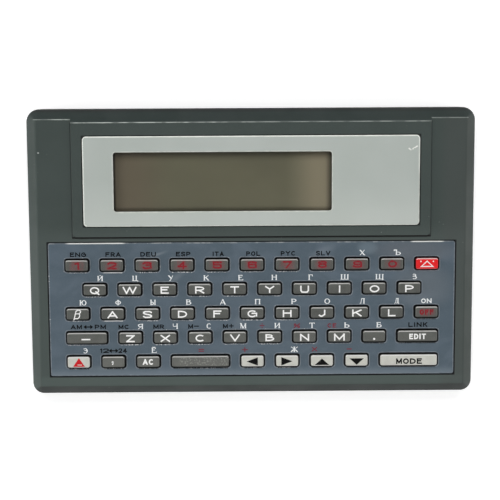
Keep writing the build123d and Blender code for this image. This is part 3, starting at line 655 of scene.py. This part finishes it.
def bow(kind, x0, y0, x1, y1, broad, fine):
    """Part of an oval, broad at its sides and fine at head and foot. The halves are fuller than an oval."""
    start, end = {"o": (0, 360), "d": (-90, 90), "q": (90, 270), "c": (42, 318), "e": (-138, 138)}[kind]
    half = kind in "dq"
    cx = {"d": x0, "q": x1}.get(kind, (x0 + x1) / 2)
    rx = x1 - x0 if half else (x1 - x0) / 2
    cy, ry, n = (y0 + y1) / 2, (y1 - y0) / 2, 16
    flat = []
    for i in range(n + 1):
        angle = math.radians(start + (end - start) * i / n)
        c, s = math.cos(angle), math.sin(angle)
        if half:
            c = math.copysign(abs(c) ** 0.65, c)
        for side in (1, -1):
            flat.append((cx + (rx + side * broad / 2) * c, cy + (ry + side * fine / 2) * s))
    return flat, [[2 * i, 2 * i + 2, 2 * i + 3, 2 * i + 1] for i in range(n)]


def letters(text, x, y, z, height, width=None, broad=0.3, fine=None, slant=0.0, gap=0.3, alphabet=PLAIN):
    """Printed letters as (vertices, faces), centred on x, y and lying on height z, capitals height mm tall
    and gap mm apart. Without a width they have their usual proportions."""
    fine = fine or broad
    signs = [[(stroke[0], [(int(mark[0]), int(mark[1])) for mark in stroke[1:].split("-")])
              for stroke in alphabet[letter].split()] for letter in text]
    columns = [[column for _, marks in sign for column, _ in marks] for sign in signs]
    units, gap = sum(max(c) - min(c) for c in columns), gap + broad
    gaps = (len(text) - 1) * gap
    unit_y = (height - fine) / GRID_HEIGHT
    unit_x = (width - broad - gaps) / units if width and units else unit_y * PROPORTION
    parts, left = [], x - (units * unit_x + gaps) / 2
    for sign, c in zip(signs, columns):
        for kind, marks in sign:
            points = []
            for column, row in marks:
                up = (row - GRID_MIDDLE) * unit_y
                points.append((left + (column - min(c)) * unit_x + slant * up, y + up))
            if kind == "p":
                parts.append(dash(points[0], broad / 2, broad))
            elif kind in "Bbh":
                parts += [strip(piece, fine if kind == "h" else broad) for piece in runs(points, fine / 2)]
                if kind == "B":
                    parts += [dash(points[end], 0.75 * broad, fine * 0.8) for end in (0, -1)
                              if marks[end][1] in (1, 8)]
            else:
                parts.append(bow(kind, *points[0], *points[1], broad, fine))
        left += (max(c) - min(c)) * unit_x + gap
    # Strokes that cross lie a little over one another.
    return joined(*[raised(flat, faces, z + 0.0015 * (i % 6)) for i, (flat, faces) in enumerate(parts)])


def dash(point, reach, width):
    """A short level stroke, such as a serif."""
    x, y = point
    return strip([(x - reach, y), (x + reach, y)], width)


# ---- keys ----
CAP_MARGIN_X, CAP_MARGIN_Y, HOLE_MARGIN = 1.13, 1.09, 0.67  # inside the flange: the cap, the hole
FLANGE_TOP, FLANGE_CORNER, CAP_CORNER, CAP_EDGE = 11.15, 0.3, 0.6, 0.42
PRINT = 0.03  # room for the print within the key's height
IVORY_KEYS = ("shift", "left", "right", "up", "down", "mode")
LETTER_WIDTHS = {
    "q": 3.0, "w": 4.4, "e": 2.6, "r": 2.9, "t": 2.7, "y": 2.9, "u": 2.8, "i": 0.5, "o": 3.1, "p": 2.7,
    "a": 3.2, "s": 2.8, "d": 2.9, "f": 2.6, "g": 3.1, "h": 2.8, "j": 2.1, "k": 3.0, "l": 2.4, "z": 2.7,
    "x": 3.0, "c": 3.0, "v": 3.1, "b": 2.8, "n": 2.9, "m": 3.4}
# Text, how far it lies from the middle, height, width, weight, slant and ink.
WORDS = {
    "off": ("OFF", 0, 0, 1.8, 4.4, 0.48, 0.0, "cap_red"),
    "edit": ("EDIT", 0, -0.1, 1.8, 5.3, 0.42, 0.0, "cap_white"),
    "clear": ("AC", 0, 0, 1.85, 3.5, 0.44, 0.0, "cap_white"),
    "mode": ("MODE", 0.1, -0.35, 1.8, 8.2, 0.44, 0.0, "cap_black"),
    "hyphen": ("-", -0.3, -0.45, 1.75, 2.8, 0.45, 0.0, "cap_white"),
    "sharp_s": ("s", 0, 0, 3.0, 1.8, 0.32, 0.25, "cap_white")}
# The way it points, how far it lies from the middle, width, height and ink.
ARROWS = {
    "left": ("left", -0.1, -0.1, 3.55, 2.65, "cap_black"),
    "right": ("right", -0.1, -0.1, 3.55, 2.65, "cap_black"),
    "up": ("up", 0, -0.35, 4.6, 2.05, "cap_black"),
    "down": ("down", 0, -0.35, 4.6, 2.05, "cap_black"),
    "shift": ("up", 0.1, 0, 3.75, 2.8, "cap_signal")}


def cap_print(name, x, y, z):
    """The legend of a key as (vertices, faces, ink), or None."""
    if name in LETTER_WIDTHS:
        return (*letters(name.upper(), x, y - 0.15, z, 2.3, LETTER_WIDTHS[name], 0.46), "cap_white")
    if name.isdigit():
        return (*letters(name, x + 0.1, y, z, 2.3, 1.5 if name == "1" else 2.85, 0.56), "cap_red")
    if name in WORDS:
        text, dx, dy, height, width, weight, slant, ink = WORDS[name]
        return (*letters(text, x + dx, y + dy, z, height, width, weight, slant=slant), ink)
    if name in ARROWS:
        way, dx, dy, width, height, ink = ARROWS[name]
        return (*patch(triangle(x + dx, y + dy, width, height, way), z), ink)
    if name == "translate":
        # A hollow triangle with a dot on either side.
        outline = triangle(x, y, 4.4, 2.1, "up") + triangle(x, y - 0.06, 2.9, 1.3, "up")
        sides = [[i, (i + 1) % 3, 3 + (i + 1) % 3, 3 + i] for i in range(3)]
        dots = [patch(dot(x + dx, y + 0.75, 0.24, 8), z) for dx in (-1.95, 1.95)]
        return (*joined(raised(outline, sides, z), *dots), "cap_bright")
    if name == "period":
        return (*patch(dot(x, y - 0.8, 0.36, 12), z), "cap_white")
    if name == "comma":
        x -= 0.25
        tail = strip([(x + 0.18, y), (x + 0.12, y - 0.45), (x - 0.15, y - 0.85)], 0.34)
        return (*joined(patch(dot(x, y, 0.36, 12), z), raised(*tail, z)), "cap_white")
    return None


def make_key(node):
    """A cap with its flange and legend. Gives the place and size of its hole in the keyboard plate."""
    name = node[4:]
    x, y, flange_w, flange_d = footprint(node)
    z_low, z_top = extent(node)[4:]
    w, d, top = flange_w - 2 * CAP_MARGIN_X, flange_d - 2 * CAP_MARGIN_Y, z_top - PRINT
    rings = [ring(x, y, flange_w, flange_d, FLANGE_CORNER, z, 3) for z in (z_low, FLANGE_TOP)]
    rings.append(ring(x, y, w, d, CAP_CORNER, FLANGE_TOP, 3))
    # The edge is rounded in four steps, and a narrow level rim keeps the shading of the top even.
    for i in range(6):
        angle = math.pi / 2 * min(i, 4) / 4
        inset = CAP_EDGE * (1 - math.cos(angle)) + (0.06 if i == 5 else 0)
        rings.append(ring(x, y, w - 2 * inset, d - 2 * inset, CAP_CORNER - 0.8 * inset,
                          top - CAP_EDGE * (1 - math.sin(angle)), 3))
    vertices, faces = stack(rings)
    plastic = RED if name == "translate" else IVORY if name in IVORY_KEYS else GREY
    materials, index = [plastic], [0] * len(faces)
    prints = []
    legend = cap_print(name, x, y, top)
    if legend:
        prints.append((legend[:2], INK[legend[2]]))
    if name == "shift":
        # The fold in the arrow is bare plastic.
        prints.append((raised(*strip([(x - 0.35, y - 0.8), (x + 1.0, y - 0.85)], 0.3), top + 0.01), IVORY))
    for more, ink in prints:
        vertices, faces = joined((vertices, faces), more)
        index += [len(materials)] * len(more[1])
        materials.append(ink)
    cap = new_object("cap_" + name, vertices, faces, materials, index, sharp=55)
    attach(cap, node)
    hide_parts(node)
    return x, y, flange_w - 2 * HOLE_MARGIN, flange_d - 2 * HOLE_MARGIN


key_nodes = [node for node in sorted(nodes) if node.startswith("key_") and node != "key_mat"]
key_place = {node[4:]: make_key(node) for node in key_nodes}

# ---- painted keyboard plate ----
panel_z = KEY_PLATE[5]
holes = [(*place, 0.8) for place in key_place.values()]
panel = plate("keyboard_plate", (*footprint("keyboard_panel"), 0.7), holes, KEY_PLATE[4], panel_z, 0.22,
              [PAINTED, PAINTED_RIM, CHIPPED_SHADED_RIM])
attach(panel, "case")
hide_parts("keyboard_panel")

# ---- print on the keyboard plate ----
LANGUAGES = {"1": ("ENG", 5.1), "2": ("FRA", 4.8), "3": ("DEU", 4.9), "4": ("ESP", 4.6), "5": ("ITA", 3.5),
             "6": ("POL", 4.4), "7": ("PYC", 4.7), "8": ("SLV", 4.5)}
SECOND = {
    "9": "Х", "0": "Ъ", "q": "Й", "w": "Ц", "e": "У", "r": "К", "t": "Е", "y": "Н", "u": "Г", "i": "Ш",
    "o": "Щ", "p": "З", "sharp_s": "Ю", "a": "Ф", "s": "Ы", "d": "В", "f": "А", "g": "П", "h": "Р",
    "j": "О", "k": "Л", "l": "Д", "period": "Б", "z": "Я", "x": "Ч", "c": "С", "v": "М", "b": "И", "n": "Т",
    "m": "Ь", "shift": "Э", "clear": "Ё", "right": "Ж"}
# How far to the right of its key a second letter stands, where that isn't 1.7.
BESIDE = {"z": 3.1, "x": 3.1, "c": 2.8, "v": 2.6, "b": 2.4, "n": 2.4, "m": 2.5, "shift": 2.0, "clear": 1.9,
          "right": 2.3, "w": 1.8, "e": 1.9, "r": 2.1, "t": 2.0, "y": 1.5, "u": 2.0, "d": 2.0, "h": 2.2}
# Text, how far to the right of its key it stands, height and width.
SIGNS = {"b": ("/", -2.4, 1.6, 1.5), "n": ("%", -2.4, 1.5, 2.0), "m": ("CE", -2.3, 1.4, 2.8),
         "space": ("=", 0.3, 1.7, 1.8), "left": ("+", -2.4, 1.7, 1.8), "up": ("*", -2.3, 1.6, 1.6),
         "down": ("-", -2.3, 1.5, 1.6)}
bits = {"black": [], "white": [], "red": []}


def note(text, key, dx, dy, height, width, ink, broad, fine=None, **style):
    """Print beside a key."""
    x, y = key_place[key][:2]
    bits[ink].append(letters(text, x + dx, y + dy, panel_z, height, width, broad, fine, **style))


def double_arrow(x, y, width, z):
    half, head, bar, tip = width / 2, 0.95, 0.18, 0.72
    left = [(x - half, y), (x - half + head, y - tip), (x - half + head, y + tip)]
    right = [(x + half, y), (x + half - head, y + tip), (x + half - head, y - tip)]
    middle = [(x - half + head, y - bar), (x + half - head, y - bar), (x + half - head, y + bar),
              (x - half + head, y + bar)]
    return joined(patch(left, z), patch(right, z), patch(middle, z))


for key, (text, width) in LANGUAGES.items():
    note(text, key, 0.4, 3.4, 1.45, width, "black", 0.33)
for key, letter in SECOND.items():
    note(letter, key, BESIDE.get(key, 1.7), 3.5, 1.7, None, "white", 0.36, 0.2, alphabet=BOOK)
for key, text in {"z": "MC", "x": "MR", "c": "M-", "v": "M+"}.items():
    note(text, key, -2.1, 3.4, 1.4, 3.4, "black", 0.33)
for key, (text, dx, height, width) in SIGNS.items():
    note(text, key, dx, 3.4, height, width, "red", 0.32)
note("ON", "off", 0.05, 3.4, 1.5, 3.3, "white", 0.32)
note("LINK", "edit", 0.2, 3.5, 1.5, 6.0, "black", 0.34, gap=0.45)
for key, first, second, dx, apart, width in (("hyphen", "AM", "PM", 0.4, 3.8, 3.55),
                                             ("comma", "12", "24", 0.0, 2.9, 2.7)):
    note(first, key, dx - apart, 3.45, 1.45, width, "black", 0.33)
    note(second, key, dx + apart, 3.45, 1.45, width, "black", 0.33)
    x, y = key_place[key][:2]
    bits["black"].append(double_arrow(x + dx, y + 3.45, 3.1, panel_z))
for ink, parts in bits.items():
    legend = new_object("plate_print_" + ink, *joined(*parts), [INK["print_" + ink]])
    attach(legend, "case")

# ---- display plate, clear pane and display ----
display = plate("display_plate", (*footprint("display_panel"), 1.2), [WINDOW], *DISPLAY_PLATE[4:], 0.24,
                [SILVER, SILVER_RIM], 6, 0.14)
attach(display, "case")
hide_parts("display_panel")


def slab(name, material, steps, *levels):
    """A pane or glass about the window's middle. Each level is how much wider and deeper it is than the
    window, its corner radius and its height."""
    x, y, width, depth, _ = WINDOW
    rings = [ring(x, y, width + wider, depth + deeper, corner, z, steps)
             for wider, deeper, corner, z in levels]
    return new_object(name, *stack(rings), [material])


cell_low, pane_top = extent("lcd_module")[4:]
pane = slab("display_pane", PANE, 2, (4, 4, 0.3, pane_top - 0.75), (4, 4, 0.3, pane_top - 0.1),
            (3.8, 3.8, 0.2, pane_top))
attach(pane, "case")
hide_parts("lcd_module")
# Rear glass and, less deep, front glass.
ledge, cell_top = cell_low + 0.9, pane_top - 1.3
glass = slab("display_cell", GLASS, 1, (8, 7.2, 0.1, cell_low), (8, 7.2, 0.1, ledge), (8, 4.4, 0.1, ledge),
             (8, 4.4, 0.1, cell_top))
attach(glass, "case")


# ---- screws ----
def screw(x, y, name):
    """Cross-recessed pan head in its well, head down, with the shank up into the post."""
    face, seat, radius, shank, length, sides = 1.75, 3.19, 1.9, 1.0, 3.0, 24
    # Four of the points of the recess lie at the ends of the cross.
    recess = [([arm if i % (sides // 4) else end for i in range(sides)], z)
              for end, arm, z in ((1.15, 0.36, face), (0.5, 0.2, face + 0.75))]
    body = [([r] * sides, z) for r, z in (
        (1.25, face + 0.02), (1.6, face + 0.2), (1.84, face + 0.5), (radius, face + 0.85), (radius, seat),
        (shank, seat), (shank, seat + length))]
    vertices, loops = [], []
    for radii, z in recess + body:
        loops.append(list(range(len(vertices), len(vertices) + sides)))
        for i, r in enumerate(radii):
            angle = 2 * math.pi * i / sides
            vertices.append(((x + r * math.cos(angle)) * MM, (y + r * math.sin(angle)) * MM, z * MM))
    mouth, bottom, *outside = loops
    faces = [bottom]
    for a, b in ((mouth, bottom), (outside[0], mouth), *zip(outside[1:], outside)):
        faces += [[a[i], b[i], b[(i + 1) % sides], a[(i + 1) % sides]] for i in range(sides)]
    faces.append(outside[-1])
    thing = new_object(name, vertices, faces, [SCREW], sharp=40)
    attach(thing, "case")


for i, (sx, sy) in enumerate([(-1, 1), (1, 1), (-1, -1), (1, -1)]):
    screw(sx * SCREW_X, sy * SCREW_Y, "case_screw_%d" % (i + 1))

# ---- CAD nodes that stay ----
for name, material in {"front_case": CASE, "back_case": CASE, "battery_cover": CASE, "key_mat": SILICONE,
                       "circuit_board": BOARD, "coin_cells": CELL}.items():
    for s in nodes[name].material_slots:
        s.material = material


# ---- floor, light and camera ----
def paper():
    """White where it is seen, directly or in a reflection, and plain grey to the light that falls on it."""
    s = Shader("paper_floor", specular=0.1, roughness=0.9)
    path = s.add("ShaderNodeLightPath").outputs
    seen = s.most(path["Is Camera Ray"], path["Is Glossy Ray"], path["Is Transmission Ray"])
    # Away from the lamps the paper glows a little more, so that it stays white as far as it is seen.
    away = s.add("ShaderNodeVectorMath", {0: s.place}, operation="LENGTH").outputs["Value"]
    glow = s.times(seen, s.band(away, 0.3, 1.2, 0.42, 0.8))
    s.put(s.surface, {"Base Color": s.mix(seen, (0.45, 0.45, 0.45, 1), (1, 1, 1, 1)),
                      "Emission Strength": glow, "Emission Color": (1, 1, 1, 1)})
    return s.material


def paper_sheet():
    """A round sheet that curves up all round, far outside the lamps. Its profile is radii and heights."""
    profile = [(5.0, 0.0), (5.4, 0.06), (5.7, 0.2), (5.9, 0.45), (6.0, 0.8), (6.0, 2.4)]
    turns = 72
    vertices = [(r * math.cos(2 * math.pi * i / turns), r * math.sin(2 * math.pi * i / turns), z)
                for r, z in profile for i in range(turns)]
    faces = [list(range(turns))]
    for level in range(len(profile) - 1):
        a, b = level * turns, (level + 1) * turns
        faces += [[a + i, b + i, b + (i + 1) % turns, a + (i + 1) % turns] for i in range(turns)]
    return new_object("floor", vertices, faces, [paper()], sharp=60)


floor = paper_sheet()

world = bpy.data.worlds.new("studio")
bpy.context.scene.world = world
world.use_nodes = True
world.node_tree.nodes["Background"].inputs["Color"].default_value = (1, 1, 1, 1)
world.node_tree.nodes["Background"].inputs["Strength"].default_value = 0.25


def soft_light(name, position, target, size, watts):
    data = bpy.data.lights.new(name, "AREA")
    data.shape = "RECTANGLE"
    data.size, data.size_y = size
    data.energy = watts
    lamp = bpy.data.objects.new(name, data)
    lamp.location = position
    lamp.rotation_euler = (Vector(target) - Vector(position)).to_track_quat("-Z", "Y").to_euler()
    bpy.context.scene.collection.objects.link(lamp)


soft_light("top_light", (0, 0.55, 0.72), (0, 0, 0), (0.6, 0.4), 3.35)
soft_light("left_light", (-0.8, -0.1, 0.38), (0, 0, 0), (0.5, 0.7), 2.3)
soft_light("right_light", (0.8, -0.1, 0.38), (0, 0, 0), (0.5, 0.7), 1.8)
soft_light("near_light", (0, -0.24, 0.42), (0, -0.05, 0), (0.3, 0.16), 0.4)

# The camera as fitted to the photo.
PHOTO_WIDTH, FOCAL, SENSOR = 500, 1264.8, 36.0  # pixels, pixels and millimetres
TILT, ROLL, YAW = math.radians(7.14), math.radians(-0.31), math.radians(-0.52)
AIM, DISTANCE = Vector((-0.53 * MM, 0.66 * MM, 10.2 * MM)), 400 * MM
back = Vector((math.sin(YAW) * math.cos(TILT), math.sin(TILT), math.cos(YAW) * math.cos(TILT))).normalized()
right = Vector((0, 1, 0)).cross(back).normalized()
up = back.cross(right)
right, up = right * math.cos(ROLL) + up * math.sin(ROLL), up * math.cos(ROLL) - right * math.sin(ROLL)
lens = bpy.data.cameras.new("camera")
lens.sensor_fit = "HORIZONTAL"
lens.sensor_width = SENSOR
lens.lens = FOCAL * SENSOR / PHOTO_WIDTH
lens.clip_start = 0.01
camera = bpy.data.objects.new("camera", lens)
place = AIM + back * DISTANCE
camera.matrix_world = Matrix(((right.x, up.x, back.x, place.x), (right.y, up.y, back.y, place.y),
                              (right.z, up.z, back.z, place.z), (0, 0, 0, 1)))
bpy.context.scene.collection.objects.link(camera)
bpy.context.scene.camera = camera
bpy.context.scene.view_settings.view_transform = "Standard"

bpy.context.view_layer.update()
